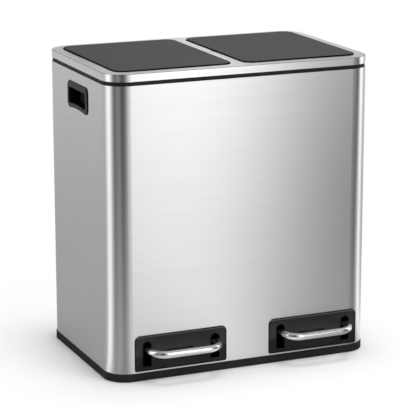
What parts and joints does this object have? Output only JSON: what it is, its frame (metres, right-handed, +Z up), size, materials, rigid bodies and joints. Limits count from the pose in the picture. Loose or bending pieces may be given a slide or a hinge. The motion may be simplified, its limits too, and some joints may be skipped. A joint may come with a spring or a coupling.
{
  "type": "double recycling bin",
  "caption": "Brushed steel pedal bin with rounded corners, paired inset lids, removable buckets, chrome pedals, side grips and a black plinth.",
  "frame": {"origin": "middle of the underside, on the plane of the foot pads, centred on the steel body's width and depth", "axes": "+Z up, -Y out of the front where the pedals are, +X to the right of someone facing the front from inside the bin (the viewer's right)"},
  "size_m": [0.507, 0.3697, 0.5475],
  "materials": {
    "steel": "fine horizontal brushing under a clear coat",
    "black_plastic": "satin black",
    "rubber": "matt",
    "bucket_plastic": "satin, moulded",
    "zinc_steel": "zinc plated, pressed",
    "black_steel": "black stoved paint on pressed steel",
    "pin_steel": "turned, zinc plated",
    "white_plastic": "natural nylon",
    "lid_grey": "satin dark grey",
    "chrome": "polished"
  },
  "bodies": {
    "casing": {"body_shell": "steel", "base_tray": "black_plastic", "foot_pads": "rubber", "top_collar": "black_plastic", "bucket_deck": "black_plastic", "lid_rim": "steel", "left_pedal_bezel": "black_plastic", "right_pedal_bezel": "black_plastic", "left_carry_handle": "black_plastic", "right_carry_handle": "black_plastic", "left_bucket": "bucket_plastic", "right_bucket": "bucket_plastic", "left_fulcrum_bracket": "zinc_steel", "right_fulcrum_bracket": "zinc_steel", "fulcrum_pins": "pin_steel", "bracket_screws": "pin_steel", "pedal_bumpers": "rubber", "lid_hinge_pins": "pin_steel", "lid_bumpers": "rubber", "left_rod_channel": "zinc_steel", "right_rod_channel": "zinc_steel", "rod_guides": "white_plastic"},
    "left_lid": {"left_lid_panel": "lid_grey", "left_lid_liner": "black_plastic", "left_drive_pin": "pin_steel"},
    "left_pedal": {"left_pedal_bar": "chrome", "left_pedal_lever": "black_steel"},
    "left_rod": {"left_push_rod": "zinc_steel", "left_rod_head": "white_plastic", "left_rod_foot": "white_plastic"},
    "right_lid": {"right_lid_panel": "lid_grey", "right_lid_liner": "black_plastic", "right_drive_pin": "pin_steel"},
    "right_pedal": {"right_pedal_bar": "chrome", "right_pedal_lever": "black_steel"},
    "right_rod": {"right_push_rod": "zinc_steel", "right_rod_head": "white_plastic", "right_rod_foot": "white_plastic"}
  },
  "joints": [
    {"name": "left_lid_hinge", "type": "hinge", "parent": "casing", "child": "left_lid", "pos_m": [-0.12, 0.153, 0.539], "axis": [-1, 0, 0], "range_deg": [0, 80]},
    {"name": "left_pedal_pivot", "type": "hinge", "parent": "casing", "child": "left_pedal", "pos_m": [-0.1205, -0.01, 0.046], "axis": [1, 0, 0], "range_deg": [0, 9]},
    {"name": "left_rod_lift", "type": "slide", "parent": "casing", "child": "left_rod", "axis": [0, 0, 1], "range_m": [0, 0.02315]},
    {"name": "right_lid_hinge", "type": "hinge", "parent": "casing", "child": "right_lid", "pos_m": [0.12, 0.153, 0.539], "axis": [-1, 0, 0], "range_deg": [0, 80]},
    {"name": "right_pedal_pivot", "type": "hinge", "parent": "casing", "child": "right_pedal", "pos_m": [0.1365, -0.01, 0.046], "axis": [1, 0, 0], "range_deg": [0, 9]},
    {"name": "right_rod_lift", "type": "slide", "parent": "casing", "child": "right_rod", "axis": [0, 0, 1], "range_m": [0, 0.02315]}
  ],
  "couplings": [
    {"joint": "left_pedal_pivot", "follows": "left_lid_hinge", "ratio": 0.11243},
    {"joint": "left_rod_lift", "follows": "left_lid_hinge", "m_per_rad": 0.016573},
    {"joint": "right_pedal_pivot", "follows": "right_lid_hinge", "ratio": 0.11243},
    {"joint": "right_rod_lift", "follows": "right_lid_hinge", "m_per_rad": 0.016573}
  ]
}
